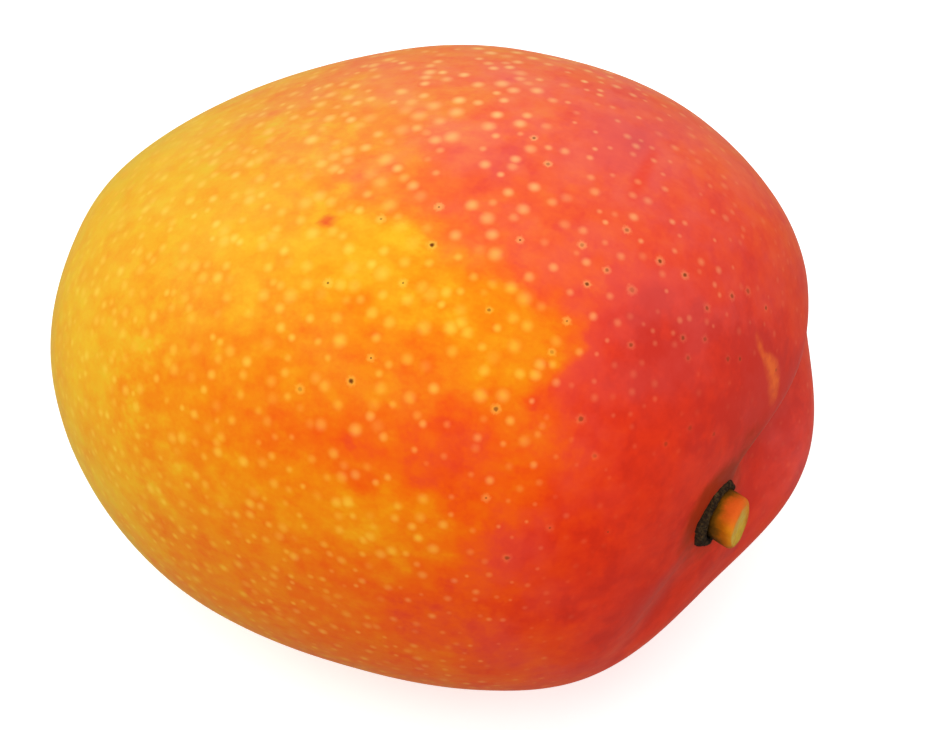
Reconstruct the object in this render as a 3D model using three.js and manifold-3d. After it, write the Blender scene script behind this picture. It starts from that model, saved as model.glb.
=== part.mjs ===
// A ripe mango as picked, lying on one cheek: the fruit, the corky collar in its stem cavity, and the cut stem stub.
// Millimetres. +Z is up, +X runs along the fruit to its stem end, and +Y points to its ventral side, the side of the
// beak. The origin is the middle of the small flat spot that the fruit rests on.
import * as THREE from "three";
import { mergeVertices } from "three/addons/utils/BufferGeometryUtils.js";
import Module from "manifold-3d";

const { degToRad, smoothstep } = THREE.MathUtils;

// ---- the fruit: a full, slightly squared egg, broader at the stem end ----
const HALF_LENGTH = 58;
const HALF_WIDTH = 48.6; // beak side to back
const HALF_THICKNESS = 44.7; // cheek to cheek
const FULLNESS = 2.22; // power of the section curves: 2 is an ellipse, more is squarer
const WIDTH_TAPER = 0.12; // share by which the stem end is wider than the middle, and the apex narrower
const THICKNESS_TAPER = 0.105;
const LEAN = 1; // how far the stem end sits towards the ventral side
const REST_PITCH = 4.8; // degrees that the stem end is raised when the fruit lies still
const UNDERSIDE = { polar: [60, 120], azimuth: [225, 315] }; // degrees from and round the stem
const UNDERSIDE_STEP = 0.5;
const RESTING_SPOT_DEPTH = 0.5; // the skin pressed flat where the fruit lies

// ---- the stem end: the stem grows from the back of the stem end, out of a shallow cavity ----
const STEM_SEAT = 25.5; // degrees from the fruit's long axis to where the stem grows
const STEM_SLANT = 28; // degrees from the fruit's long axis to the stem's own axis
const CAVITY_DEPTH = 3.6;
const CAVITY_SPREAD = 17; // degrees away from the stem

// Furrows run out from the stem. Angles are in degrees: the azimuth is measured round the stem, from the ventral
// side over the upper cheek. Rise, peak and fade are measured away from the stem, and the banks are in millimetres.
const FURROWS = {
  ventralCrease: { azimuth: 12, depth: 3.7, peak: 17, rise: 20, fade: 30, upperBank: 3.6, lowerBank: 9 },
  dorsalFold: { azimuth: 234, depth: 1.5, peak: 19, rise: 18, fade: 14, upperBank: 5, lowerBank: 5 },
  dipUnderStem: { azimuth: 281, depth: 3.2, peak: 27, rise: 22, fade: 24, upperBank: 17, lowerBank: 17 },
};
const FURROW_REACH = 50; // radius that turns a furrow's angles into millimetres across it
const FURROW_SIDES = [60, 100]; // degrees of azimuth over which a furrow ends on its own side of the stem
const FURROW_START = 0.8; // share of the way to the peak over which a furrow leaves the stem

// Shoulders stand up round the cavity, towards the stem's own axis.
const SHOULDERS = {
  upperCheek: { azimuth: 51, height: 3.1, peak: 51 },
  lowerCheek: { azimuth: -31, height: 4.7, peak: 30 },
};
const SHOULDER_SPREAD = 14; // degrees away from the stem
const SHOULDER_WIDTH = 0.9; // radians of azimuth

// Broad, low swellings of the cheeks, placed by their angle from the stem and their azimuth.
const SWELLINGS = [
  { polar: 146, azimuth: 116, height: 1.0, spread: 15 },
  { polar: 122, azimuth: 85, height: -0.9, spread: 13 },
  { polar: 106, azimuth: 52, height: 1.0, spread: 13 },
  { polar: 95, azimuth: 204, height: 0.6, spread: 15 },
  { polar: 42, azimuth: 238, height: 0.6, spread: 10 },
];

// The beak is a low point on the ventral side of the apex.
const BEAK_ANGLE = 38; // degrees from the long axis
const BEAK_HEIGHT = 1.2;
const BEAK_SPREAD = 8; // degrees

// ---- the stem pieces, in a frame whose Z is the stem's own axis and whose zero is the floor of the cavity ----
const STUB_RADIUS = 3.75;
const STUB_LENGTH = 3.7; // from the cavity's floor to the middle of the cut
const STUB_EDGE = 0.7; // rounding of the cut's edge
const CUT_SLANT = 16; // degrees that the cut leans to the ventral side
const COLLAR_WIDTH = 1.05;
const COLLAR_HEIGHT = 1.2; // of its crest round the stub, above the cavity's floor
const COLLAR_EDGE = 0.2; // of its outer edge
const COLLAR_FLANK = 80; // degrees of the arc that the collar climbs by
const COLLAR_WANDER = 0.15; // how far the collar's outer edge wanders
const COLLAR_LOBES = 7;
const CREST_WAVE = 0.2; // share by which the crest rises and falls, three times round
const SOCKET_DEPTH = 1.3; // how deep the collar and the stub sit in the fruit
const GAP = 0.3; // clearance between pieces

// ---- fineness of the surfaces ----
const FRUIT_RINGS = 46;
const FRUIT_MERIDIANS = 80;
const RING_CROWDING = 1.2; // above 1 the rings crowd towards the stem
const STEM_SIDES = 40;

const WASM = await Module();
WASM.setup();

// ---- solids ----

function toSolid(geometry) {
  const bare = geometry.clone();
  bare.deleteAttribute("normal");
  bare.deleteAttribute("uv");
  const merged = mergeVertices(bare, 1e-4);
  return new WASM.Manifold(
    new WASM.Mesh({
      numProp: 3,
      vertProperties: merged.attributes.position.array,
      triVerts: new Uint32Array(merged.index.array),
    }),
  );
}

function toGeometry(solid) {
  const mesh = solid.getMesh();
  const geometry = new THREE.BufferGeometry();
  geometry.setAttribute("position", new THREE.BufferAttribute(mesh.vertProperties, 3));
  geometry.setIndex(new THREE.BufferAttribute(mesh.triVerts, 1));
  geometry.computeVertexNormals();
  return geometry;
}

// ---- the form of the fruit ----

// A unit vector in the plane of the fruit's long axis and its ventral side.
function inPlane(degrees) {
  return new THREE.Vector3(Math.cos(degToRad(degrees)), Math.sin(degToRad(degrees)), 0);
}

const STEM_AXIS = inPlane(-STEM_SLANT);
const TO_SEAT = inPlane(-STEM_SEAT);
const TO_VENTRAL = inPlane(90 - STEM_SEAT);
const TO_UPPER_CHEEK = new THREE.Vector3(0, 0, 1);
const TO_BEAK = inPlane(180 - BEAK_ANGLE);

// The bell curve that every hollow and swelling fades by.
function bell(distance, spread) {
  return Math.exp(-((distance / spread) ** 2));
}

// The turn from one azimuth to another, between -180 and 180 degrees.
function turn(from, to) {
  return THREE.MathUtils.euclideanModulo(to - from + 180, 360) - 180;
}

// The direction at some degrees away from the stem and at an azimuth round it.
function directionAt(polar, azimuth) {
  const across = Math.sin(degToRad(polar));
  return new THREE.Vector3()
    .addScaledVector(TO_SEAT, Math.cos(degToRad(polar)))
    .addScaledVector(TO_VENTRAL, across * Math.cos(degToRad(azimuth)))
    .addScaledVector(TO_UPPER_CHEEK, across * Math.sin(degToRad(azimuth)));
}

function furrowDepth(furrow, polar, azimuth) {
  const off = turn(furrow.azimuth, azimuth);
  const across = Math.sin(degToRad(polar)) * Math.sin(degToRad(off)) * FURROW_REACH;
  const bank = across > 0 ? furrow.upperBank : furrow.lowerBank;
  const ownSide = 1 - smoothstep(Math.abs(off), ...FURROW_SIDES);
  const along =
    polar < furrow.peak
      ? bell(polar - furrow.peak, furrow.rise) * smoothstep(polar, 0, FURROW_START * furrow.peak)
      : bell(polar - furrow.peak, furrow.fade);
  return furrow.depth * along * bell(across, bank) * ownSide;
}

function shoulderHeight(shoulder, polar, azimuth) {
  const off = degToRad(turn(shoulder.azimuth, azimuth));
  return shoulder.height * bell(polar - shoulder.peak, SHOULDER_SPREAD) * bell(off, SHOULDER_WIDTH);
}

function swellingHeight(swelling, direction) {
  const away = direction.angleTo(directionAt(swelling.polar, swelling.azimuth));
  return swelling.height * bell(away, degToRad(swelling.spread));
}

// A point of the skin, with the fruit level and its middle at the origin.
function skinPoint(polar, azimuth) {
  const direction = directionAt(polar, azimuth);
  const powers = direction.toArray().reduce((sum, part) => sum + Math.abs(part) ** FULLNESS, 0);
  const { x, y, z } = direction.clone().multiplyScalar(powers ** (-1 / FULLNESS));
  const point = new THREE.Vector3(
    HALF_LENGTH * x,
    HALF_WIDTH * y * (1 + WIDTH_TAPER * x) + LEAN * x,
    HALF_THICKNESS * z * (1 + THICKNESS_TAPER * x),
  );
  const swell = SWELLINGS.reduce((sum, swelling) => sum + swellingHeight(swelling, direction), 0);
  point.setLength(point.length() + swell);

  let hollow = CAVITY_DEPTH * bell(polar, CAVITY_SPREAD);
  for (const furrow of Object.values(FURROWS)) hollow += furrowDepth(furrow, polar, azimuth);
  for (const shoulder of Object.values(SHOULDERS)) hollow -= shoulderHeight(shoulder, polar, azimuth);
  hollow += BEAK_HEIGHT * bell(direction.angleTo(TO_BEAK), degToRad(BEAK_SPREAD));
  return point.addScaledVector(STEM_AXIS, -hollow);
}

// Rings of points from the stem to the far side of the fruit, closed by one point at each end.
function skinGeometry() {
  const points = [skinPoint(0, 0)];
  for (let ring = 1; ring < FRUIT_RINGS; ring++) {
    const polar = 180 * (ring / FRUIT_RINGS) ** RING_CROWDING;
    for (let m = 0; m < FRUIT_MERIDIANS; m++) points.push(skinPoint(polar, (360 * m) / FRUIT_MERIDIANS));
  }
  points.push(skinPoint(180, 0));

  const last = points.length - 1;
  const at = (ring, m) => 1 + (ring - 1) * FRUIT_MERIDIANS + (m % FRUIT_MERIDIANS);
  const triangles = [];
  for (let m = 0; m < FRUIT_MERIDIANS; m++) {
    triangles.push(0, at(1, m), at(1, m + 1));
    for (let ring = 1; ring < FRUIT_RINGS - 1; ring++) {
      triangles.push(at(ring, m), at(ring + 1, m), at(ring + 1, m + 1));
      triangles.push(at(ring, m), at(ring + 1, m + 1), at(ring, m + 1));
    }
    triangles.push(at(FRUIT_RINGS - 1, m), last, at(FRUIT_RINGS - 1, m + 1));
  }
  return new THREE.BufferGeometry().setFromPoints(points).setIndex(triangles);
}

// ---- how the fruit lies ----

// The level fruit's turn into its resting pose, with its lowest point at the origin, less the flattened depth.
function restingMatrix() {
  const pitched = new THREE.Matrix4().makeRotationY(degToRad(-REST_PITCH));
  let lowest = new THREE.Vector3(0, 0, Infinity);
  for (let polar = UNDERSIDE.polar[0]; polar < UNDERSIDE.polar[1]; polar += UNDERSIDE_STEP)
    for (let azimuth = UNDERSIDE.azimuth[0]; azimuth < UNDERSIDE.azimuth[1]; azimuth += UNDERSIDE_STEP) {
      const point = skinPoint(polar, azimuth).applyMatrix4(pitched);
      if (point.z < lowest.z) lowest = point;
    }
  lowest.z += RESTING_SPOT_DEPTH;
  return pitched.premultiply(new THREE.Matrix4().makeTranslation(lowest.negate()));
}

const RESTING = restingMatrix();

// The stem's own frame in the resting fruit: Z is its axis, X points to the ventral side.
const STEM_FRAME = new THREE.Matrix4()
  .makeBasis(inPlane(90 - STEM_SLANT), TO_UPPER_CHEEK, STEM_AXIS)
  .setPosition(skinPoint(0, 0))
  .premultiply(RESTING);

// ---- the pieces ----

// A closed profile turned round Z, given as [radius, height] pairs.
function turned(profile) {
  return new THREE.LatheGeometry(
    profile.map(([radius, height]) => new THREE.Vector2(radius, height)),
    STEM_SIDES,
  ).rotateX(Math.PI / 2);
}

// Moves each point of a geometry by a rule.
function reshape(geometry, rule) {
  const position = geometry.attributes.position;
  const point = new THREE.Vector3();
  for (let i = 0; i < position.count; i++) {
    rule(point.fromBufferAttribute(position, i));
    position.setXYZ(i, point.x, point.y, point.z);
  }
  return geometry;
}

function fruitGeometry() {
  const socketRadius = STUB_RADIUS + GAP + COLLAR_WIDTH + COLLAR_WANDER + GAP;
  const socket = new THREE.CylinderGeometry(socketRadius, socketRadius, 2 * SOCKET_DEPTH, STEM_SIDES)
    .rotateX(Math.PI / 2)
    .applyMatrix4(STEM_FRAME);
  const tableSide = 4 * HALF_LENGTH;
  const table = new THREE.BoxGeometry(tableSide, tableSide, tableSide).translate(0, 0, -tableSide / 2);
  const whole = toSolid(skinGeometry().applyMatrix4(RESTING));
  return toGeometry(whole.subtract(toSolid(socket)).subtract(toSolid(table)));
}

// A ring that climbs from the skin to a crest round the stub, and wanders as dried cork does.
function collarGeometry() {
  const inner = STUB_RADIUS + GAP;
  const outer = inner + COLLAR_WIDTH;
  const bottom = GAP - SOCKET_DEPTH;
  const flank = (share) => [
    inner + COLLAR_WIDTH * Math.cos(share * degToRad(COLLAR_FLANK)),
    COLLAR_EDGE + (COLLAR_HEIGHT - COLLAR_EDGE) * Math.sin((share * Math.PI) / 2),
  ];
  const profile = [
    [inner, bottom],
    [outer, bottom],
    ...[0, 0.25, 0.5, 0.75, 1].map(flank),
    [inner, COLLAR_HEIGHT - COLLAR_EDGE],
    [inner, bottom],
  ];
  return reshape(turned(profile), (point) => {
    const round = Math.atan2(point.y, point.x);
    const radius = Math.hypot(point.x, point.y);
    const outwards = (radius - inner) / COLLAR_WIDTH;
    const wander = COLLAR_WANDER * Math.sin(COLLAR_LOBES * round) * Math.sin(2 * round + 1);
    point.x *= 1 + (wander * outwards) / radius;
    point.y *= 1 + (wander * outwards) / radius;
    if (point.z > 0) point.z *= 1 + CREST_WAVE * Math.sin(3 * round);
  });
}

// A round peg with a rounded edge, cut at a slant.
function stubGeometry() {
  const bottom = GAP - SOCKET_DEPTH;
  const profile = [
    [0, bottom],
    [STUB_RADIUS, bottom],
    [STUB_RADIUS, STUB_LENGTH - STUB_EDGE],
  ];
  for (let degrees = 30; degrees <= 90; degrees += 30)
    profile.push([
      STUB_RADIUS - STUB_EDGE * (1 - Math.cos(degToRad(degrees))),
      STUB_LENGTH - STUB_EDGE * (1 - Math.sin(degToRad(degrees))),
    ]);
  profile.push([0, STUB_LENGTH]);
  const slope = Math.tan(degToRad(CUT_SLANT));
  return reshape(turned(profile), (point) => {
    if (point.z > 0) point.z -= slope * point.x * (point.z / STUB_LENGTH);
  });
}

const SKIN = new THREE.MeshStandardMaterial({ color: 0xee6a22, roughness: 0.42, metalness: 0 });
const CORK = new THREE.MeshStandardMaterial({ color: 0x33231a, roughness: 0.9, metalness: 0 });
const CUT_STEM = new THREE.MeshStandardMaterial({ color: 0xd79a35, roughness: 0.65, metalness: 0 });

function piece(name, geometry, material) {
  const mesh = new THREE.Mesh(geometry, material);
  mesh.name = name;
  return mesh;
}

const stem = new THREE.Group();
stem.applyMatrix4(STEM_FRAME);
stem.add(piece("stem_collar", collarGeometry(), CORK), piece("stem_stub", stubGeometry(), CUT_STEM));

const mango = new THREE.Group();
mango.add(piece("fruit", fruitGeometry(), SKIN), stem);

export default mango;
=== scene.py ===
import math
import bpy
import numpy as np
from mathutils import Matrix, Vector, noise
from mathutils.bvhtree import BVHTree
from mathutils.kdtree import KDTree


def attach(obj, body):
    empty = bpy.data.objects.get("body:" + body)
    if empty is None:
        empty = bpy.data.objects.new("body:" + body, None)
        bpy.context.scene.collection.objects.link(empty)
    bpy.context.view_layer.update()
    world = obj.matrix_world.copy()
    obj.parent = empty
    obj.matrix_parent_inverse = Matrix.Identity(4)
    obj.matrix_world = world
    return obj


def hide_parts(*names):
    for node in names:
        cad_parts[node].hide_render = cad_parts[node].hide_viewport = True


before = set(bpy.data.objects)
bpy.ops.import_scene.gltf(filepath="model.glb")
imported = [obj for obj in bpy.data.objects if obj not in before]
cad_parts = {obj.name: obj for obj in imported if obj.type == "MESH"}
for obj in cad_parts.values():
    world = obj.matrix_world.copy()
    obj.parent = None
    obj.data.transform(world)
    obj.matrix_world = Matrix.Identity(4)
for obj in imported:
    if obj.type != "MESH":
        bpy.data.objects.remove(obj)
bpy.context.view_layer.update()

# A ripe red and yellow mango as picked, lying on one cheek on a white table. +Z is up, +X runs along the
# fruit to its stem end, and +Y points to its ventral side. The camera, the table and the lights are measured
# in metres, and the fruit and its stem in millimetres. The scales of the shaders' noise are per metre, and
# their bump distances are metres.
scene = bpy.context.scene


# ==== camera ====
# A long lens looks down on the dorsal side of the fruit, turned a little towards its stem end, and is aimed
# to the right of its middle.
FRUIT_MIDDLE = Vector((-0.00306, 0.00021, 0.04404))
CAMERA_TURN = math.radians(16)
CAMERA_RISE = math.radians(47)
CAMERA_DISTANCE = 0.3414
CAMERA_LENS, SENSOR_WIDTH = 85, 36  # millimetres
CAMERA_NEAREST = 0.01
FRAME_WIDTH, FRAME_HEIGHT = 930, 730
FRUIT_ASIDE = (-42, 6)  # frame units that the fruit's middle lies right of and above the frame's middle

camera_data = bpy.data.cameras.new("camera")
camera_data.lens = CAMERA_LENS
camera_data.sensor_width = SENSOR_WIDTH
camera_data.clip_start = CAMERA_NEAREST
camera = bpy.data.objects.new("camera", camera_data)
scene.collection.objects.link(camera)
scene.camera = camera

back = Vector((
    math.sin(CAMERA_TURN) * math.cos(CAMERA_RISE),
    -math.cos(CAMERA_TURN) * math.cos(CAMERA_RISE),
    math.sin(CAMERA_RISE),
))
right = Vector((math.cos(CAMERA_TURN), math.sin(CAMERA_TURN), 0))
up = back.cross(right)
frame_units = CAMERA_LENS / SENSOR_WIDTH * FRAME_WIDTH  # frame units at a slope of 1
aim = FRUIT_MIDDLE - (right * FRUIT_ASIDE[0] + up * FRUIT_ASIDE[1]) * CAMERA_DISTANCE / frame_units
camera.location = FRUIT_MIDDLE + back * CAMERA_DISTANCE
camera.rotation_mode = "QUATERNION"
view_back = (camera.location - aim).normalized()
view_right = (right - view_back * right.dot(view_back)).normalized()
view_up = view_back.cross(view_right)
camera.rotation_quaternion = Matrix((view_right, view_up, view_back)).transposed().to_quaternion()


# ==== table and light ====
# A white table top in a pale room, and four soft boxes: over the camera, at its left and right, and behind
# the fruit. They are wide, so the shadow is faint and soft.
TABLE_HALF = 4.0
TABLE_DROP = 0.00003  # the fruit is this far above it
TABLE_SEEN = (0.80, 0.80, 0.80, 1)
TABLE_BOUNCED = (0.68, 0.68, 0.67, 1)  # painted shade: the table is darker in the light it throws back at the fruit, standing in for black flags beside it
# painted reflection: the fruit mirrors a darker table than the camera sees
TABLE_MIRRORED = (0.14, 0.14, 0.14, 1)
TABLE_ROUGHNESS = 0.75
TABLE_GLOW = 0.58  # it is lit from below too
ROOM_LIGHT, ROOM_SEEN = 0.46, 1.0  # the strength of its light, and of its white behind the table
ROOM_WHITE = (1.0, 0.995, 0.985, 1)
SOFT_BOXES = {  # place, width, watts, and whether the fruit mirrors it
    "over_camera": ((-0.10, -0.60, 1.30), 1.1, 10.3, False),
    "left": ((-1.50, -0.10, 0.80), 1.1, 5.9, True),
    "right": ((1.40, -0.20, 0.90), 1.1, 5.0, False),
    "behind": ((-0.10, 1.60, 0.90), 1.8, 5.0, True),
}
scene.view_settings.view_transform = "Standard"


def node(tree, kind, inputs=None, **settings):
    """Adds a shader node. Its inputs are numbers, colours or other nodes' outputs."""
    made = tree.nodes.new("ShaderNode" + kind)
    for name, value in settings.items():
        setattr(made, name, value)
    for key, value in (inputs or {}).items():
        if isinstance(value, bpy.types.NodeSocket):
            tree.links.new(value, made.inputs[key])
        else:
            made.inputs[key].default_value = value
    return made


table_mesh = bpy.data.meshes.new("table")
table_mesh.from_pydata(
    [(x * TABLE_HALF, y * TABLE_HALF, -TABLE_DROP) for x, y in ((-1, -1), (1, -1), (1, 1), (-1, 1))],
    [],
    [(0, 1, 2, 3)],
)
table = bpy.data.objects.new("table", table_mesh)
scene.collection.objects.link(table)
table_paint = bpy.data.materials.new("table_paint")
table_paint.use_nodes = True
table_tree = table_paint.node_tree
table_top = table_tree.nodes["Principled BSDF"]
table_top.inputs["Roughness"].default_value = TABLE_ROUGHNESS
# the table shows the camera its own white, and painted darker shades to the light it throws back and to
# reflections
rays = node(table_tree, "LightPath").outputs
looked_at = rays["Is Camera Ray"]
thrown = {0: rays["Is Glossy Ray"], 6: TABLE_BOUNCED, 7: TABLE_MIRRORED}
thrown_tone = node(table_tree, "Mix", thrown, data_type="RGBA").outputs[2]
tone = node(table_tree, "Mix", {0: looked_at, 6: thrown_tone, 7: TABLE_SEEN}, data_type="RGBA")
table_tree.links.new(tone.outputs[2], table_top.inputs["Base Color"])
glow = node(table_tree, "Math", {0: looked_at, 1: TABLE_GLOW}, operation="MULTIPLY")
table_top.inputs["Emission Color"].default_value = ROOM_WHITE
table_tree.links.new(glow.outputs[0], table_top.inputs["Emission Strength"])
table_mesh.materials.append(table_paint)

for name, (place, width, watts, mirrored) in SOFT_BOXES.items():
    light_data = bpy.data.lights.new(name, "AREA")
    light_data.size = width
    light_data.energy = watts
    light = bpy.data.objects.new(name, light_data)
    light.location = place
    light.visible_glossy = mirrored
    light.rotation_mode = "QUATERNION"
    light.rotation_quaternion = (FRUIT_MIDDLE - Vector(place)).to_track_quat("-Z", "Y")
    scene.collection.objects.link(light)

room = bpy.data.worlds.new("room")
room.use_nodes = True
scene.world = room
room_tree = room.node_tree
room_tree.nodes.clear()
lighting = node(room_tree, "Background", {"Color": ROOM_WHITE, "Strength": ROOM_LIGHT})
backdrop = node(room_tree, "Background", {"Color": ROOM_WHITE, "Strength": ROOM_SEEN})
seen = node(room_tree, "LightPath")
chosen = node(
    room_tree,
    "MixShader",
    {0: seen.outputs["Is Camera Ray"], 1: lighting.outputs[0], 2: backdrop.outputs[0]},
)
node(room_tree, "OutputWorld", {"Surface": chosen.outputs[0]})


# ==== skin ====
# The whole fruit in its thin waxy skin: a full, slightly squared egg with a cavity at the stem, a deep crease
# beside it on the ventral side, and a beak near the apex. It is red over the stem end, gold at the apex and
# dotted with pale lenticels.
HALF_LENGTH, HALF_WIDTH, HALF_THICKNESS = 58, 48.6, 44.7
FULLNESS = 2.22
WIDTH_TAPER, THICKNESS_TAPER, LEAN = 0.12, 0.105, 1
REST_PITCH = 4.8
STEM_SEAT, STEM_SLANT = 25.5, 28
CAVITY_DEPTH, CAVITY_SPREAD = 3.6, 17
FURROWS = (  # azimuth, depth, peak, rise, fade, upper bank, lower bank
    (12, 3.7, 17, 20, 30, 3.6, 9),
    (234, 1.5, 19, 18, 14, 5, 5),
    (281, 3.2, 27, 22, 24, 17, 17),
)
FURROW_REACH, FURROW_SIDES, FURROW_START = 50, (60, 100), 0.8
SHOULDERS = ((51, 3.1, 51), (-31, 4.7, 30))  # azimuth, height, peak
SHOULDER_SPREAD, SHOULDER_WIDTH = 14, 0.9
SWELLINGS = (  # degrees from the stem, azimuth, height, spread
    (146, 116, 1.0, 15),
    (122, 85, -0.9, 13),
    (106, 52, 1.0, 13),
    (95, 204, 0.6, 15),
    (42, 238, 0.6, 10),
)
BEAK_ANGLE, BEAK_HEIGHT, BEAK_SPREAD = 38, 1.2, 8
SKIN_RINGS, SKIN_MERIDIANS, RING_CROWDING = 270, 350, 1.3
UNEVENNESS = ((24, 0.14), (8, 0.05), (2.6, 0.016))  # size across and depth of each scale of unevenness
TUCK_DEPTH, TUCK_RADII = 1.0, (3.9, 4.6)  # the skin turns down under the collar
STEM_REACH = 15  # how far below the skin at the stem a point still counts as near it


def in_plane(degrees):
    return np.array((math.cos(math.radians(degrees)), math.sin(math.radians(degrees)), 0))


def bell(distance, spread):
    return np.exp(-((distance / spread) ** 2))


def smooth(value, start, end):
    share = np.clip((value - start) / (end - start), 0, 1)
    return share * share * (3 - 2 * share)


def turn(start, azimuth):
    """The turn from one azimuth to another, between -180 and 180 degrees."""
    return (azimuth - start + 180) % 360 - 180


def direction(polar, azimuth):
    """Unit vectors at some degrees away from the stem and at an azimuth round it."""
    across = np.sin(np.radians(polar))
    parts = (
        np.cos(np.radians(polar))[..., None] * in_plane(-STEM_SEAT),
        (across * np.cos(np.radians(azimuth)))[..., None] * in_plane(90 - STEM_SEAT),
        (across * np.sin(np.radians(azimuth)))[..., None] * np.array((0, 0, 1)),
    )
    return sum(parts)


def angle_between(directions, other):
    return np.degrees(np.arccos(np.clip(directions @ other, -1, 1)))


def furrow_depth(polar, azimuth, furrow):
    start, depth, peak, rise, fade, upper_bank, lower_bank = furrow
    off = turn(start, azimuth)
    across = np.sin(np.radians(polar)) * np.sin(np.radians(off)) * FURROW_REACH
    own_side = 1 - smooth(np.abs(off), *FURROW_SIDES)
    near = bell(polar - peak, rise) * smooth(polar, 0, FURROW_START * peak)
    along = np.where(polar < peak, near, bell(polar - peak, fade))
    return depth * along * bell(across, np.where(across > 0, upper_bank, lower_bank)) * own_side


def skin_at(polar, azimuth):
    """Points of the skin of the level fruit, whose middle is at the origin, in millimetres."""
    ways = direction(polar, azimuth)
    x, y, z = (ways * (np.abs(ways) ** FULLNESS).sum(-1, keepdims=True) ** (-1 / FULLNESS)).T
    points = np.stack((
        HALF_LENGTH * x,
        HALF_WIDTH * y * (1 + WIDTH_TAPER * x) + LEAN * x,
        HALF_THICKNESS * z * (1 + THICKNESS_TAPER * x),
    ), -1)
    swell = np.zeros(len(points))
    for from_stem, round_stem, height, spread in SWELLINGS:
        middle = direction(np.array(from_stem), np.array(round_stem))
        swell += height * bell(angle_between(ways, middle), spread)
    points *= 1 + (swell / np.linalg.norm(points, axis=1))[:, None]
    hollow = CAVITY_DEPTH * bell(polar, CAVITY_SPREAD)
    for furrow in FURROWS:
        hollow += furrow_depth(polar, azimuth, furrow)
    for round_stem, height, peak in SHOULDERS:
        off = np.radians(turn(round_stem, azimuth))
        hollow -= height * bell(polar - peak, SHOULDER_SPREAD) * bell(off, SHOULDER_WIDTH)
    hollow += BEAK_HEIGHT * bell(angle_between(ways, in_plane(180 - BEAK_ANGLE)), BEAK_SPREAD)
    return points - hollow[:, None] * in_plane(-STEM_SLANT)


# the level fruit's turn into its resting pose
RESTING = Matrix.Translation(FRUIT_MIDDLE) @ Matrix.Rotation(math.radians(-REST_PITCH), 4, "Y")
# the stem's frame in the resting fruit: Z is its axis, X points to the ventral side, and zero is on the skin
stem_seat = skin_at(np.array([0.0]), np.array([0.0]))[0] / 1000
stem_axes = (in_plane(90 - STEM_SLANT), (0, 0, 1), in_plane(-STEM_SLANT))
STEM_FRAME = RESTING @ Matrix.Translation(stem_seat) @ Matrix(stem_axes).transposed().to_4x4()

ring_polars = 180 * (np.arange(1, SKIN_RINGS) / SKIN_RINGS) ** RING_CROWDING
meridians = 360 * np.arange(SKIN_MERIDIANS) / SKIN_MERIDIANS
polars = np.concatenate(([0], np.repeat(ring_polars, SKIN_MERIDIANS), [180]))
azimuths = np.concatenate(([0], np.tile(meridians, SKIN_RINGS - 1), [0]))
ways = direction(polars, azimuths)
level = skin_at(polars, azimuths)


def unevenness(points, size, seed):
    """Smooth noise from 0 to 1 at each point, with swells of a size across."""
    shift = Vector((seed, seed, seed))
    return np.array([0.5 + 0.5 * noise.noise(Vector(point) / size + shift) for point in points])


for size, depth in UNEVENNESS:
    level -= (depth * unevenness(level, size, size))[:, None] * ways
from_stem = (level - stem_seat * 1000) @ np.array(stem_axes).T
from_axis = np.hypot(from_stem[:, 0], from_stem[:, 1])
near_stem = from_stem[:, 2] > -STEM_REACH
tuck = TUCK_DEPTH * (1 - smooth(from_axis, *TUCK_RADII)) * near_stem
level -= tuck[:, None] * in_plane(-STEM_SLANT)

skin_points = np.array([RESTING @ Vector(point / 1000) for point in level])
skin_points[:, 2] = np.maximum(skin_points[:, 2], 0)  # the small flat spot that the fruit lies on

last = len(skin_points) - 1
skin_faces = []
for side in range(SKIN_MERIDIANS):
    after = (side + 1) % SKIN_MERIDIANS
    skin_faces.append((0, 1 + side, 1 + after))
    for ring in range(SKIN_RINGS - 2):
        start = 1 + ring * SKIN_MERIDIANS
        below = start + SKIN_MERIDIANS
        skin_faces.append((start + side, below + side, below + after, start + after))
    skin_faces.append((last - SKIN_MERIDIANS + side, last, last - SKIN_MERIDIANS + after))
skin_mesh = bpy.data.meshes.new("skin")
skin_mesh.from_pydata(skin_points.tolist(), [], skin_faces)
skin_mesh.shade_smooth()
skin = bpy.data.objects.new("skin", skin_mesh)
scene.collection.objects.link(skin)

# -- the blush: 1 is the deepest red and 0 is gold. It fades away from the stem, and patches add to it --
BLUSH_MOST, BLUSH_REACH, BLUSH_FALL = 0.97, 78, 2.3
BLUSH_PATCHES = (  # degrees from the stem, azimuth, spread away from the stem, spread round it, amount
    (66, 72, 26, 26, 0.16),  # the sunny upper cheek
    (74, 50, 10, 15, 0.12),
    (102, 62, 26, 22, 0.24),
    (119, 80, 8, 13, 0.11),
    (34, 100, 14, 45, 0.08),  # the upper shoulder
    (40, 97, 6, 14, 0.22),
    (36, 172, 14, 34, -0.02),  # the dorsal shoulder
    (46, 140, 6, 28, -0.12),
    (50, 195, 10, 20, -0.06),
    (80, 143, 18, 7, 0.08),  # between the gold windows
    (24, 54, 9, 19, 0.26),  # the bank of the crease
    (20, 200, 9, 45, 0.14),  # the hollow round the stem, deeper red there, partly painted shade
    # the hollow of the crease beside the stem, deeper red there, partly painted shade
    (20, 0, 11, 40, 0.14),
    (33, 93, 8, 30, 0.06),
    (63, 108, 5, 4, 0.10),
    (78, 92, 7, 12, 0.13),
    (67, 130, 7, 5, -0.09),
    (76, 87, 5, 5, 0.12),
    (45, 124, 5, 5, -0.15),
    (52, 140, 5, 5, 0.10),
    (46, 97, 4, 5, 0.15),
    (71, 120, 8, 5, 0.12),
    (70, 64, 6, 8, 0.10),
    (38, 126, 5, 8, -0.10),
    (68, 72, 4, 10, 0.10),
    (77, 138, 7, 8, -0.08),
    (102, 118, 7, 12, -0.07),
    (100, 150, 5, 9, 0.08),
    (108, 91, 7, 9, 0.08),
    (86, 190, 22, 14, 0.07),
    (55, 215, 22, 28, -0.13),  # the shaded under side
    (110, 190, 18, 18, -0.10),
)
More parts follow.
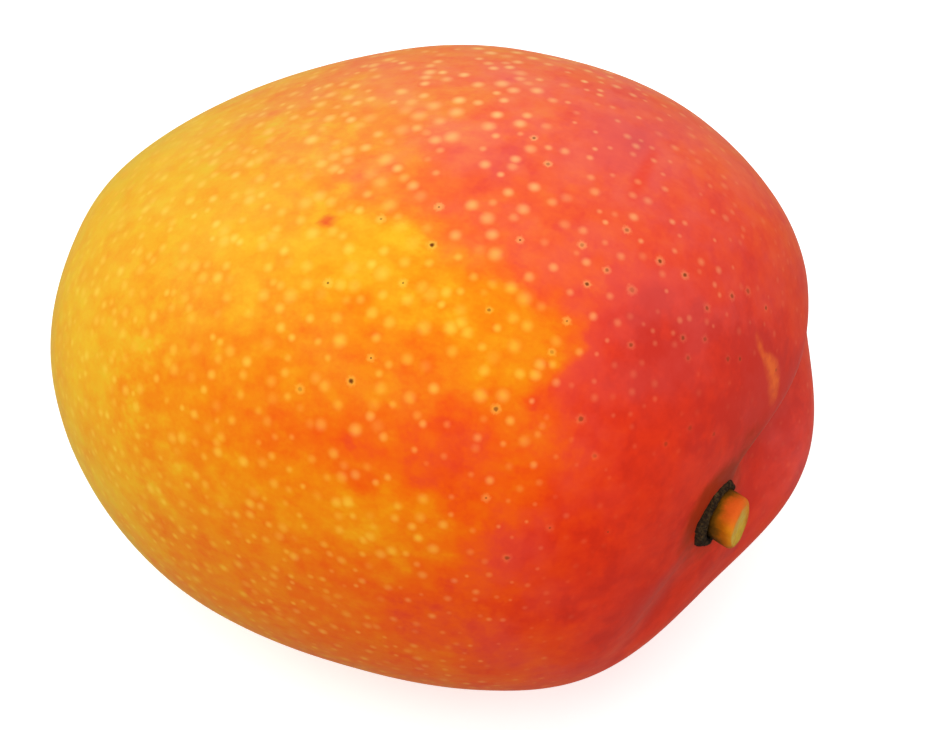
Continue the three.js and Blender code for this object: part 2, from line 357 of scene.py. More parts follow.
GOLD_WINDOWS = (  # edges near and far from the stem and round it, each with its softness, and the amount
    ((48.5, 2.5), (88, 20), (104, 5), (124, 7), 0.31),
    ((50, 5), (70, 12), (148, 3.5), (166, 6), 0.26),
)
EDGE_WANDER = ((9, 3.6), (3.2, 3.0))  # size across, and degrees that the patches' edges wander
POLAR_SEED, AZIMUTH_SEED = 11, 31

wander_polar, wander_azimuth = np.zeros(len(level)), np.zeros(len(level))
for size, degrees in EDGE_WANDER:
    wander_polar += degrees * (2 * unevenness(level, size, POLAR_SEED + size) - 1)
    wander_azimuth += degrees * (2 * unevenness(level, size, AZIMUTH_SEED + size) - 1)
blush_polar = polars + wander_polar
blush_azimuth = azimuths + wander_azimuth


def with_patches(share, patches):
    """A share of every vertex, with soft patches added to it."""
    for patch_polar, patch_azimuth, away, around, amount in patches:
        off = turn(patch_azimuth, blush_azimuth)
        share = share + amount * bell(blush_polar - patch_polar, away) * bell(off, around)
    return share


def past(edge, value):
    """From 0 before a soft edge to 1 past it."""
    degrees, softness = edge
    return smooth(value, degrees - softness, degrees + softness)


blush = BLUSH_MOST * np.exp(-((np.maximum(blush_polar, 0) / BLUSH_REACH) ** BLUSH_FALL))
blush = with_patches(blush, BLUSH_PATCHES)
in_windows = np.zeros(len(level))
for near, far, first, final, amount in GOLD_WINDOWS:
    inside = past(near, blush_polar) * (1 - past(far, blush_polar))
    inside *= past(first, blush_azimuth) * (1 - past(final, blush_azimuth))
    blush -= amount * inside
    in_windows = np.maximum(in_windows, inside)
skin_mesh.attributes.new("blush", "FLOAT", "POINT").data.foreach_set("value", blush.astype(np.float32))

# -- bloom and painted sheen: the dull, pinkish film of wax, with a pale sheen painted over it, on the side that --
# faces up, and on the shoulder past the crease --
BLOOM_AND_SHEEN_PATCHES = (  # degrees from the stem, azimuth, spread away from the stem, spread round it, amount
    (84, 67, 49, 43, 1.0),
    (27, -15, 14, 32, 0.55),
)
GONE_FROM_WINDOWS = 0.85  # how much of it is gone from the gold windows
bloom_and_sheen = with_patches(np.zeros(len(level)), BLOOM_AND_SHEEN_PATCHES) * (1 - GONE_FROM_WINDOWS * in_windows)

# -- the browned skin round the collar, which runs a little way up the bank of the crease --
BROWNED_RADII = (6.8, 12.5)
BROWNED_SIDE, BROWNED_BAND = 103, 75  # azimuths of the side that is browned most
BROWNED_LEAST = 0.35  # its share on the other side
BANK_AZIMUTH, BANK_BAND, BANK_RUN, BANK_BROWNED = 46, 34, (8, 19), 0.7
browned = BROWNED_LEAST + (1 - BROWNED_LEAST) * bell(turn(BROWNED_SIDE, azimuths), BROWNED_BAND)
browned *= 1 - smooth(from_axis, *BROWNED_RADII)
up_bank = bell(turn(BANK_AZIMUTH, azimuths), BANK_BAND) * (1 - smooth(from_axis, *BANK_RUN))
browned = np.maximum(browned, BANK_BROWNED * up_bank) * near_stem

# -- lenticels: small pale dots spread by chance, some with a dark pit in the middle. Each vertex near one
# keeps its middle and its radius, so that the shader can draw it finer than the mesh. Neighbours go in
# different sets, and a mark that finds no free set isn't drawn --
PITS = (  # places in the frame, across and down
    (432, 245), (351, 381), (300, 389), (489, 310), (552, 352), (496, 409), (581, 419), (595, 456),
    (507, 558), (534, 138), (548, 164), (582, 245), (627, 230), (660, 261), (685, 275), (632, 290),
    (587, 284), (607, 270), (707, 308), (766, 308), (748, 291), (732, 296), (631, 345), (683, 338),
    (705, 339), (688, 358), (728, 359), (740, 359), (776, 370), (666, 444), (690, 428), (714, 434),
)
FINE_PITS = (  # and of the dots with no more than a speck in the middle. Three of them find no free set
    (371, 358), (403, 283), (405, 316), (328, 283), (381, 219), (439, 207), (465, 189), (567, 321),
    (486, 498), (550, 528), (608, 532), (632, 532), (520, 240),
)
HIDDEN_PITS, PIT_TRIES = 60, 240  # how many lie out of the camera's sight, and the tries for them
LOWEST_PIT = 4  # above the table
PIT_RADII = (0.75, 1.1)  # of the pale ring round a pit
BOLD_PITS, BOLD_RADIUS = 2, 1.0  # the first pits of the list
DOT_SEED, DOT_TRIES = 20, 11000
DOT_RADII = (0.58, 1.18)
DOT_GAPS = (1.1, 3.0)  # the room that a dot needs is drawn from these
GOLD_BLUSH, RED_BLUSH = (0.1, 0.35), (0.45, 0.75)  # over which skin stops being gold, and gets red
SMALLER_ON_RED, FEWER_ON_RED, CLOSER_ON_GOLD = 0.63, 0.58, 0.68  # shares of their size, number and room
LARGE_MIDDLE, LARGE_SPREAD = (76, 86), (40, 48)  # where on the upper cheek the dots are largest
LARGER, ROOM_STEP = 0.55, 3  # and a third as much further apart
FAINT_POLARS = (24, 52)  # degrees from the stem between which the dots grow from faint to plain
APEX_POLARS, FAINT_AT_APEX = (106, 130), 0.65  # and towards the apex they fade again
QUIET_AZIMUTH, QUIET_BAND, QUIET_POLARS = 20, (32, 58), (60, 85)  # they are faint beside the crease
FAINT_IN_QUIET = 0.85
SHADED_AZIMUTH, SHADED_BAND, FAINT_IN_SHADE = 178, 45, 0.32  # and a little faint on the dorsal side
SPAN_MARGIN, SPANS_CLEAR = 1.15, 1.5  # margin on a face's span, and the spans between marks of one set
DOT_SETS = tuple(f"dots_{index}" for index in range(8))
PIT_SETS = tuple(f"pits_{index}" for index in range(3))
BOLD_SET, FINE_SET = "bold_pits", "fine_pits"
FAR_AWAY = (1.0, 1.0, 1.0, 0.000001)  # a middle in metres, and a radius
skin_tree = BVHTree.FromPolygons([Vector(point) for point in skin_points], skin_faces)
chance = np.random.default_rng(DOT_SEED)


def on_skin(across, down):
    """The point of the skin at a place in the frame."""
    slope_right = (across - FRAME_WIDTH / 2) / frame_units
    slope_up = (FRAME_HEIGHT / 2 - down) / frame_units
    hit = skin_tree.ray_cast(camera.location, view_right * slope_right + view_up * slope_up - view_back)
    return hit[0]


def scattered(count):
    """Points drawn evenly over the skin, with the number of a vertex beside each."""
    corner, below, _, beside = (skin_points[skin_quads[:, index]] for index in range(4))
    areas = np.linalg.norm(np.cross(below - corner, beside - corner), axis=1)
    chosen = chance.choice(len(skin_quads), count, p=areas / areas.sum())
    down, along = chance.random((2, count, 1))
    spots = corner[chosen] + down * (below - corner)[chosen] + along * (beside - corner)[chosen]
    return spots, skin_quads[chosen, 0]


def keep_nearest(names, middles, radii):
    """Keeps a mark's middle and radius on every vertex of its faces, unless no set is free for it."""
    spans = np.array([face_spans[vertex_tree.find(middle)[1]] for middle in middles])
    gaps = np.linalg.norm(middles[:, None] - middles[None], axis=2)
    rooms = radii + SPANS_CLEAR * spans
    close = gaps < rooms[:, None] + rooms[None]
    rows = {name: np.tile(np.array(FAR_AWAY), (len(skin_points), 1)) for name in names}
    chosen = np.full(len(middles), -1)
    for number, (middle, radius, span) in enumerate(zip(middles, radii, spans)):
        taken = chosen[:number][close[number, :number]]
        free = [index for index in range(len(names)) if index not in taken]
        if free:
            chosen[number] = free[0]
            for _, vertex, _ in vertex_tree.find_range(middle, radius + span):
                rows[names[free[0]]][vertex] = (*middle, radius)
    for name, values in rows.items():
        kept_rows = skin_mesh.attributes.new(name, "FLOAT_COLOR", "POINT")
        kept_rows.data.foreach_set("color", values.astype(np.float32).ravel())


vertex_tree = KDTree(len(skin_points))
for index, point in enumerate(skin_points):
    vertex_tree.insert(point, index)
vertex_tree.balance()
skin_quads = np.array([face for face in skin_faces if len(face) == 4])
ring_points = skin_points[1:-1].reshape(SKIN_RINGS - 1, SKIN_MERIDIANS, 3)
slants = np.linalg.norm(ring_points[1:] - np.roll(ring_points[:-1], 1, axis=1), axis=2)
face_spans = SPAN_MARGIN * np.concatenate(([slants[0, 0]], slants.ravel(), slants[-1], [slants[-1, 0]]))
vertex_normals = np.empty(3 * len(skin_points))
skin_mesh.vertex_normals.foreach_get("vector", vertex_normals)
vertex_normals = vertex_normals.reshape(-1, 3)

spots, beside = scattered(PIT_TRIES)
to_camera = np.array(camera.location) - spots
hidden = (to_camera * vertex_normals[beside]).sum(1) < 0
hidden_pits = spots[hidden & (spots[:, 2] > LOWEST_PIT / 1000)][:HIDDEN_PITS]
pit_middles = np.array([on_skin(*place) for place in (*PITS, *FINE_PITS)] + list(hidden_pits))
pit_radii = chance.uniform(*PIT_RADII, len(pit_middles)) / 1000
pit_radii[:BOLD_PITS] = BOLD_RADIUS / 1000
fine = np.zeros(len(pit_middles), dtype=bool)
fine[len(PITS):len(PITS) + len(FINE_PITS)] = True
plain_pits = ~fine
plain_pits[:BOLD_PITS] = False
keep_nearest((BOLD_SET,), pit_middles[:BOLD_PITS], pit_radii[:BOLD_PITS])
keep_nearest((FINE_SET,), pit_middles[fine], pit_radii[fine])
keep_nearest(PIT_SETS, pit_middles[plain_pits], pit_radii[plain_pits])

spots, beside = scattered(DOT_TRIES)
on_red = smooth(blush[beside], *RED_BLUSH)
wanted = chance.random(DOT_TRIES) < 1 - (1 - FEWER_ON_RED) * on_red
rooms = chance.uniform(*DOT_GAPS, DOT_TRIES) / 1000
rooms *= 1 - (1 - CLOSER_ON_GOLD) * (1 - smooth(blush[beside], *GOLD_BLUSH))
radii = chance.uniform(*DOT_RADII, DOT_TRIES) * (1 - (1 - SMALLER_ON_RED) * on_red) / 1000
large = bell(polars[beside] - LARGE_MIDDLE[0], LARGE_SPREAD[0])
large *= bell(turn(LARGE_MIDDLE[1], azimuths[beside]), LARGE_SPREAD[1])
radii *= 1 + LARGER * large
rooms *= 1 + LARGER * large / ROOM_STEP
held = np.zeros((DOT_TRIES, 3))
held[:len(pit_middles)] = pit_middles
held_radii = np.zeros(DOT_TRIES)
count = len(pit_middles)
for spot, room_needed, radius in zip(spots[wanted], rooms[wanted], radii[wanted]):
    if np.linalg.norm(held[:count] - spot, axis=1).min() > room_needed:
        held[count] = spot
        held_radii[count] = radius
        count += 1
keep_nearest(DOT_SETS, held[len(pit_middles):count], held_radii[len(pit_middles):count])

# -- a corky scar beside the crease, a faint fold in the skin of the shoulder, and a small red graze --
SCAR_LINE = ((757, 336), (760, 346), (763, 355), (769, 363), (773, 371), (774, 384), (774, 395), (773, 407))
SCAR_WIDTHS = (1.3, 1.6, 1.1, 2.2, 2.7, 2.8, 2.3, 1.2)  # either side of the line, out to its ragged edge
SCAR_DEPTHS = (0.35, 0.6, 0.6, 0.9, 1.0, 0.9, 0.65, 0.2)  # how corky it is along the line
FOLD_LINE = ((631, 198), (640, 181), (654, 152))
FOLD_WIDTHS = (1.5, 1.9, 1.5)
FOLD_DEPTHS = (0.6, 1.0, 0.6)
GRAZE_PLACE, GRAZE_EDGE = (327, 221), (0.4, 1.2)
GRAZE_REACHES = (1.2, 0.9, 4)  # to its left and right, above and below, and into the skin


def near_line(places, widths, depths):
    """Closeness of the vertices to a line through places in the frame: a depth on it, and 0 at its width."""
    line = np.array([on_skin(*place) for place in places])
    closeness = np.zeros(len(skin_points))
    for index in range(len(line) - 1):
        along = line[index + 1] - line[index]
        share = np.clip((skin_points - line[index]) @ along / (along @ along), 0, 1)
        off = np.linalg.norm(skin_points - line[index] - share[:, None] * along, axis=1) * 1000
        width = widths[index] + share * (widths[index + 1] - widths[index])
        depth = depths[index] + share * (depths[index + 1] - depths[index])
        closeness = np.maximum(closeness, depth * (1 - off / width))
    return closeness


scar = near_line(SCAR_LINE, SCAR_WIDTHS, SCAR_DEPTHS)
fold = near_line(FOLD_LINE, FOLD_WIDTHS, FOLD_DEPTHS)
from_graze = skin_points - np.array(on_skin(*GRAZE_PLACE))
graze_off = np.linalg.norm([
    from_graze @ np.array(way) / (reach / 1000) for way, reach in zip((right, up, back), GRAZE_REACHES)
], axis=0)
graze = 1 - smooth(graze_off, *GRAZE_EDGE)
quiet = 1 - smooth(np.abs(turn(QUIET_AZIMUTH, azimuths)), *QUIET_BAND)
quiet *= FAINT_IN_QUIET * (1 - smooth(polars, *QUIET_POLARS))
faint = np.maximum(1 - smooth(polars, *FAINT_POLARS), FAINT_AT_APEX * smooth(polars, *APEX_POLARS))
faint = np.maximum(faint, quiet)
faint = np.maximum(faint, FAINT_IN_SHADE * bell(turn(SHADED_AZIMUTH, azimuths), SHADED_BAND))
shares = {"bloom_and_sheen": bloom_and_sheen, "browned": browned, "scar": scar, "fold": fold, "graze": graze, "faint": faint}
for name, values in shares.items():
    skin_mesh.attributes.new(name, "FLOAT", "POINT").data.foreach_set("value", values.astype(np.float32))

# -- the skin's material --
BLUSH_COLOURS = (  # blush, colour
    (0.00, (0.90, 0.530, 0.018)),
    (0.15, (0.91, 0.385, 0.008)),
    (0.30, (0.91, 0.260, 0.003)),
    (0.45, (0.905, 0.163, 0.002)),
    (0.60, (0.90, 0.098, 0.002)),
    (0.75, (0.84, 0.052, 0.004)),
    (0.90, (0.76, 0.031, 0.006)),
    (1.05, (0.63, 0.020, 0.006)),
)
BLUSH_TOP = BLUSH_COLOURS[-1][0]
PURE_GOLD, DEEP_RED = (0.0, 0.25), (0.5, 0.85)  # over which the blush leaves pure gold, and reaches deep red
MOTTLE = ((50, 0.06), (150, 0.15), (400, 0.18), (1800, 0.06))  # noise scale per metre, share of the blush
LENGTHWISE = (0.8, 1.0, 1.0)  # the mottling is drawn out along the fruit
EVEN_GOLD, EVEN_RED = 0.60, 0.70  # how much of the mottling is left on pure gold and deep red
STREAK_SCALE, STREAK_STRETCH, STREAK_SHARE = 210, (1.0, 0.45, 0.6), 0.11  # redder streaks over the red skin
STREAK_BAND, STREAK_MEAN, STREAKED_BLUSH = (0.46, 0.64), 0.35, (0.45, 0.8)
GREENER_SCALE, GREENER_BAND, GREENER_BLUSH = 55, (0.45, 0.62), (0.22, 0.0)  # greener clouds over the gold
GREENER_SHARE, GREENER_GOLD = 0.5, (0.80, 0.53, 0.020, 1)
PATCHY_SCALE, PATCHY_BAND = 95, (0.38, 0.66)  # the veil and the flush are both patchy
VEIL_SHARE, VEIL_PINK = (0.11, 0.21), (0.90, 0.38, 0.42, 1)  # thin and thick bloom, with its painted sheen
FLUSH_BLUSH, FLUSH_SHARE, FLUSH_PINK = (0.5, 0.8), 0.30, (0.78, 0.080, 0.062, 1)
FLUSH_FADE, FLUSH_LEAST = (0.4, 1.0), 0.3  # it is thin where the dots are faint
FOLD_DEEP, FOLD_SHARE, FOLD_RED = 0.9, 0.6, (0.85, 0.042, 0.012, 1)
DOT_COLOURS = (  # blush, colour
    (0.0, (0.97, 0.65, 0.055)),
    (0.35, (0.98, 0.46, 0.036)),
    (0.6, (0.97, 0.31, 0.060)),
    (0.8, (0.95, 0.22, 0.085)),
    (1.0, (0.86, 0.15, 0.075)),
)
# the dots are paler under the bloom and its painted sheen
BLOOM_AND_SHEEN_DOT, BLOOM_AND_SHEEN_ON_DOTS = (0.99, 0.58, 0.25, 1), 0.65
DOT_FADE = (1.0, 0.05)  # a dot is clear at its edge and full near its middle
DOT_STRENGTH = (0.32, 1.0)  # of the weakest and of the strongest dot
DOT_ON_RED, DOT_FAINTEST = 0.72, 0.15  # and its share on the deepest red, and where the dots are faint
LUCK_SCALE = 1100  # of the noise that draws how strong a mark is
NOISE_RANGE = (0.3, 0.7)  # most noise lies in it
PIT_CORE, FINE_CORE, CORE_FADE = 0.46, 0.24, 0.3  # a core's share of its ring, and its darkest share
PIT_RING, RING_FADE, RING_BLUSH, RING_ON_RED = 0.7, (1.0, 0.3), (0.55, 0.95), 0.70  # a ring's strength
PIT_EDGE_SCALE, PIT_EDGE = 2600, (0.8, 1.2)  # its edge is ragged
PIT_WEAKEST, FINE_WEAKEST = 0.35, 0.5  # the weakest core's strength
PIT_FAINTEST = 0.6  # and a core's share where the dots are faint
PIT_BROWN = (0.17, 0.038, 0.006, 1)
GRAZE_SHARE, GRAZE_RED = 0.85, (0.82, 0.075, 0.025, 1)
SCAR_SCALE, SCAR_RAGGED, SCAR_BAND = 700, (0.65, 1.35), (0.05, 0.90)
SCAR_SHARE, SCAR_ORANGE = 1.0, (0.86, 0.135, 0.024, 1)
BROWN_SCALE, BROWN_PATCHES, BROWN_BAND = 500, 0.6, (0.1, 0.8)
BROWN_SHARE, STEM_BROWN = 0.9, (0.36, 0.024, 0.001, 1)
ROUGHNESS_SCALE, SKIN_ROUGHNESS, BLOOM_ROUGHNESS = 260, (0.40, 0.52), 0.08
MIRRORING, WAX_TINT = 0.10, (1.0, 0.66, 0.28, 1)
BLOOM_SHEEN, SHEEN_ROUGHNESS, SHEEN_TINT = 0.11, 0.28, (1.0, 0.82, 0.66, 1)  # paler at a glancing look
PORE_SCALE, PIT_DEPTH, SKIN_BUMP = 1000, 0.5, {"Strength": 0.3, "Distance": 0.00006}

skin_paint = bpy.data.materials.new("skin_wax")
skin_paint.use_nodes = True
tree = skin_paint.node_tree
wax = tree.nodes["Principled BSDF"]
place = node(tree, "TexCoord").outputs["Object"]


def maths(operation, first, second=0.0, clamp=False):
    made = node(tree, "Math", {0: first, 1: second}, operation=operation, use_clamp=clamp)
    return made.outputs[0]


def remap(value, low, high, out_low=0.0, out_high=1.0, kind="SMOOTHSTEP"):
    made = node(
        tree,
        "MapRange",
        {"Value": value, "From Min": low, "From Max": high, "To Min": out_low, "To Max": out_high},
        interpolation_type=kind,
    )
    return made.outputs["Result"]


def mixed(share, first, second, blend="MIX"):
    made = node(tree, "Mix", {0: share, 6: first, 7: second}, data_type="RGBA", blend_type=blend)
    return made.outputs[2]


def noise_at(scale, detail=3.0, roughness=0.55, stretch=(1.0, 1.0, 1.0)):
    where = node(tree, "VectorMath", {0: place, 1: stretch}, operation="MULTIPLY").outputs[0]
    grain = {"Vector": where, "Scale": scale, "Detail": detail, "Roughness": roughness}
    return node(tree, "TexNoise", grain).outputs["Fac"]


def varied(value, amount, scale, detail=3.0):
    """A value with noise added, which moves it by half the amount at most."""
    swing = maths("SUBTRACT", noise_at(scale, detail=detail), 0.5)
    return maths("ADD", value, maths("MULTIPLY", swing, amount))


def colours_along(value, stops, top=1.0):
    ramp = node(tree, "ValToRGB", {"Fac": maths("DIVIDE", value, top)})
    steps = ramp.color_ramp.elements
    while len(steps) < len(stops):
        steps.new(0.5)
    for step, (position, colour) in zip(steps, stops):
        step.position = position / top
        step.color = (*colour, 1)
    return ramp.outputs["Color"]


def kept(name):
    return node(tree, "Attribute", attribute_name=name).outputs["Fac"]


redness = kept("blush")
uneven_red = remap(redness, *DEEP_RED, 1.0, EVEN_RED)
uneven = maths("MULTIPLY", uneven_red, remap(redness, *PURE_GOLD, EVEN_GOLD, 1.0))
for scale, share in MOTTLE:
    swing = maths("SUBTRACT", noise_at(scale, detail=2, stretch=LENGTHWISE), 0.5)
    swing = maths("MULTIPLY", swing, 2 * share)
    redness = maths("ADD", redness, maths("MULTIPLY", swing, uneven))
streaks = noise_at(STREAK_SCALE, detail=3, roughness=0.6, stretch=STREAK_STRETCH)
streak = maths("SUBTRACT", remap(streaks, *STREAK_BAND), STREAK_MEAN)
streak = maths("MULTIPLY", streak, remap(redness, *STREAKED_BLUSH, 0.0, STREAK_SHARE))
redness = maths("ADD", redness, streak)
colour = colours_along(redness, BLUSH_COLOURS, BLUSH_TOP)
clouds = remap(noise_at(GREENER_SCALE, detail=4, roughness=0.6), *GREENER_BAND)
greener = maths("MULTIPLY", clouds, remap(redness, *GREENER_BLUSH))
colour = mixed(maths("MULTIPLY", greener, GREENER_SHARE), colour, GREENER_GOLD)
patchy = remap(noise_at(PATCHY_SCALE, detail=4, roughness=0.6), *PATCHY_BAND)
# the veil paints the pinkish bloom and a pale painted sheen over the skin
veil = maths("MULTIPLY", kept("bloom_and_sheen"), remap(patchy, 0, 1, *VEIL_SHARE, "LINEAR"))
colour = mixed(veil, colour, VEIL_PINK)
flush = maths("MULTIPLY", patchy, remap(redness, *FLUSH_BLUSH, 0.0, FLUSH_SHARE))
flush = maths("MULTIPLY", flush, remap(kept("faint"), *FLUSH_FADE, 1.0, FLUSH_LEAST))
colour = mixed(flush, colour, FLUSH_PINK)
colour = mixed(remap(kept("fold"), 0.0, FOLD_DEEP, 0.0, FOLD_SHARE), colour, FOLD_RED)


def mark(name):
    """How far out in its mark a point is, from 0 in the middle to 1 at the edge, and the mark's luck."""
    nearest = node(tree, "Attribute", attribute_name=name)
    off = node(tree, "VectorMath", {0: place, 1: nearest.outputs["Vector"]}, operation="DISTANCE")
    drawn = {"Vector": nearest.outputs["Vector"], "Scale": LUCK_SCALE, "Detail": 0.0}
    luck = node(tree, "TexNoise", drawn)
    return maths("DIVIDE", off.outputs["Value"], nearest.outputs["Alpha"]), luck.outputs["Fac"]


dots, pit_core = None, None
for name in DOT_SETS:
    outward, luck = mark(name)
    dot = maths("MULTIPLY", remap(outward, *DOT_FADE), remap(luck, *NOISE_RANGE, *DOT_STRENGTH, "LINEAR"))
    dots = dot if dots is None else maths("MAXIMUM", dots, dot)
for name in (*PIT_SETS, BOLD_SET, FINE_SET):
    weakest = {BOLD_SET: 1.0, FINE_SET: FINE_WEAKEST}.get(name, PIT_WEAKEST)
    core_edge = FINE_CORE if name == FINE_SET else PIT_CORE
    outward, luck = mark(name)
    wander = remap(noise_at(PIT_EDGE_SCALE, detail=2), *NOISE_RANGE, *PIT_EDGE, "LINEAR")
    outward = maths("MULTIPLY", outward, wander)
    ring = remap(outward, *RING_FADE, 0.0, PIT_RING)
    ring = maths("MULTIPLY", ring, remap(redness, *RING_BLUSH, 1.0, RING_ON_RED))
    dots = maths("MAXIMUM", dots, ring)
    core = remap(outward, core_edge, CORE_FADE * core_edge)
    core = maths("MULTIPLY", core, remap(luck, *NOISE_RANGE, weakest, 1.0, "LINEAR"))
    pit_core = core if pit_core is None else maths("MAXIMUM", pit_core, core)
plain = remap(kept("faint"), 0.0, 1.0, 1.0, DOT_FAINTEST, "LINEAR")
plain = maths("MULTIPLY", plain, remap(redness, *DEEP_RED, 1.0, DOT_ON_RED))
# dots under the bloom take its pale colour and its painted sheen
bloomed_and_sheened = maths("MULTIPLY", kept("bloom_and_sheen"), BLOOM_AND_SHEEN_ON_DOTS)
pale = mixed(bloomed_and_sheened, colours_along(redness, DOT_COLOURS), BLOOM_AND_SHEEN_DOT)
colour = mixed(maths("MULTIPLY", dots, plain), colour, pale)
colour = mixed(maths("MULTIPLY", kept("graze"), GRAZE_SHARE), colour, GRAZE_RED)
ragged = remap(noise_at(SCAR_SCALE, detail=3), *NOISE_RANGE, *SCAR_RAGGED, "LINEAR")
ragged = maths("MULTIPLY", kept("scar"), ragged)
colour = mixed(remap(ragged, *SCAR_BAND, 0.0, SCAR_SHARE), colour, SCAR_ORANGE)
brown = varied(kept("browned"), BROWN_PATCHES, BROWN_SCALE)
colour = mixed(remap(brown, *BROWN_BAND, 0.0, BROWN_SHARE), colour, STEM_BROWN)
pit_share = maths("MULTIPLY", pit_core, remap(kept("faint"), 0.0, 1.0, 1.0, PIT_FAINTEST, "LINEAR"))
colour = mixed(pit_share, colour, PIT_BROWN)
tree.links.new(colour, wax.inputs["Base Color"])
rough = remap(noise_at(ROUGHNESS_SCALE, detail=2), *NOISE_RANGE, *SKIN_ROUGHNESS)
rough = maths("ADD", rough, maths("MULTIPLY", kept("bloom_and_sheen"), BLOOM_ROUGHNESS))
tree.links.new(rough, wax.inputs["Roughness"])
wax.inputs["Specular IOR Level"].default_value = MIRRORING
wax.inputs["Specular Tint"].default_value = WAX_TINT
wax.inputs["Sheen Weight"].default_value = BLOOM_SHEEN
wax.inputs["Sheen Roughness"].default_value = SHEEN_ROUGHNESS
wax.inputs["Sheen Tint"].default_value = SHEEN_TINT
relief = maths("SUBTRACT", noise_at(PORE_SCALE, detail=2), maths("MULTIPLY", pit_core, PIT_DEPTH))
bump = node(tree, "Bump", {"Height": relief, **SKIN_BUMP})
tree.links.new(bump.outputs["Normal"], wax.inputs["Normal"])
skin_mesh.materials.append(skin_paint)
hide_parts("fruit")
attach(skin, "root")


# ==== stem collar ====
# The ring of dark, dried cork that the skin forms round the stem. It stands up out of the cavity, is cracked
# across and crumbles at its edge, and is grown fast to the skin.
STUB_RADIUS, COLLAR_GAP = 3.75, 0.18
COLLAR_INNER = STUB_RADIUS + COLLAR_GAP
COLLAR_FOOT = -2.0
COLLAR_AZIMUTHS = (0, 25, 60, 110, 170, 215, 255, 290, 325)
COLLAR_RADII = (4.2, 5.05, 5.2, 5.45, 6.15, 6.05, 5.3, 4.4, 4.1)  # the ring is wider on the dorsal side
COLLAR_CRESTS = (-0.8, -0.05, 0.35, 0.95, 1.3, 1.1, 0.35, -0.4, -0.9)  # and stands higher there
COLLAR_LIP = 0.12  # the crest stands this far out from the inner wall, and above its top
FLANK_SHARE = 0.75  # the share of a section's steps on its outer flank
FLANK_FULLNESS, FLANK_STEEPNESS = 0.8, 0.9
COLLAR_SIDES, COLLAR_STEPS = 260, 30
CRUMBLE = ((1.3, 0.30), (0.55, 0.20), (0.22, 0.08))  # size across and depth of its lumps
CRUMBLE_SEED = (3, 5)
INSIDE_LUMPS = 0.3  # they are lower on the inner wall
CRUMBLED_OUT, CRUMBLED_IN, CRUMBLED_UP = 0.7, 0.15, 0.7  # their share outwards, on that wall, and upwards
CRUMBLED_FROM = 0.2  # the height above which they reach upwards
CORK_COLOURS = (  # grain, colour
    (0.0, (0.010, 0.006, 0.004)),
    (0.40, (0.030, 0.017, 0.008)),
    (0.65, (0.080, 0.046, 0.012)),
    (1.0, (0.26, 0.19, 0.10)),
)
COARSE_SCALE, COARSE_SHARE = 1300, 1.5
GRIT_SCALE, GRIT_SHARE = 4200, 0.7
GRAIN_SHIFT = 0.68
CORK_BAND, CORK_ROUGHNESS, CORK_MIRRORING = (0.2, 0.8), (0.95, 0.72), 0.25
CRACK_SCALE, CRACK_WIDTH = 1300, 0.12
CORK_BUMP = {"Strength": 0.8, "Distance": 0.00015}


def closed_rings(name, rings):
    """A mesh object from rings of points, each ring joined to the next and every ring closed."""
    count = len(rings[0])
    faces = []
    for ring in range(len(rings) - 1):
        for side in range(count):
            after = (side + 1) % count
            start = ring * count
            faces.append((start + side, start + after, start + count + after, start + count + side))
    made = bpy.data.meshes.new(name)
    made.from_pydata([point for ring in rings for point in ring], [], faces)
    made.shade_smooth()
    built = bpy.data.objects.new(name, made)
    scene.collection.objects.link(built)
    return built


def in_stem_frame(x, y, z):
    return STEM_FRAME @ (Vector((x, y, z)) / 1000)


collar_rings = []
for step in range(COLLAR_STEPS + 1):
    share = step / COLLAR_STEPS
    ring = []
    for side in range(COLLAR_SIDES):
        angle = 2 * math.pi * side / COLLAR_SIDES
        outer = np.interp(math.degrees(angle), COLLAR_AZIMUTHS, COLLAR_RADII, period=360)
        crest = np.interp(math.degrees(angle), COLLAR_AZIMUTHS, COLLAR_CRESTS, period=360)
        on_flank = share < FLANK_SHARE
        if on_flank:  # from the foot up and over the outer flank to the crest
            climb = (share / FLANK_SHARE) * math.pi / 2
            crest_radius = COLLAR_INNER + COLLAR_LIP
            radius = crest_radius + (outer - crest_radius) * math.cos(climb) ** FLANK_FULLNESS
            height = COLLAR_FOOT + (crest - COLLAR_FOOT) * math.sin(climb) ** FLANK_STEEPNESS
        else:  # down the inner wall beside the stem
            radius = COLLAR_INNER
            wall_top = crest - COLLAR_LIP
            height = wall_top - (share - FLANK_SHARE) / (1 - FLANK_SHARE) * (wall_top - COLLAR_FOOT)
        spot = Vector((radius * math.cos(angle), radius * math.sin(angle), height))
        lump = 0
        for size, depth in CRUMBLE:
            lump += depth * noise.noise(spot / size + Vector((*CRUMBLE_SEED, size)))
        lump *= 1.0 if on_flank else INSIDE_LUMPS
        radius += (CRUMBLED_OUT if on_flank else CRUMBLED_IN) * lump
        height += CRUMBLED_UP * lump if height > CRUMBLED_FROM else 0
        ring.append(in_stem_frame(radius * math.cos(angle), radius * math.sin(angle), height))
    collar_rings.append(ring)
collar = closed_rings("cork_collar", collar_rings)

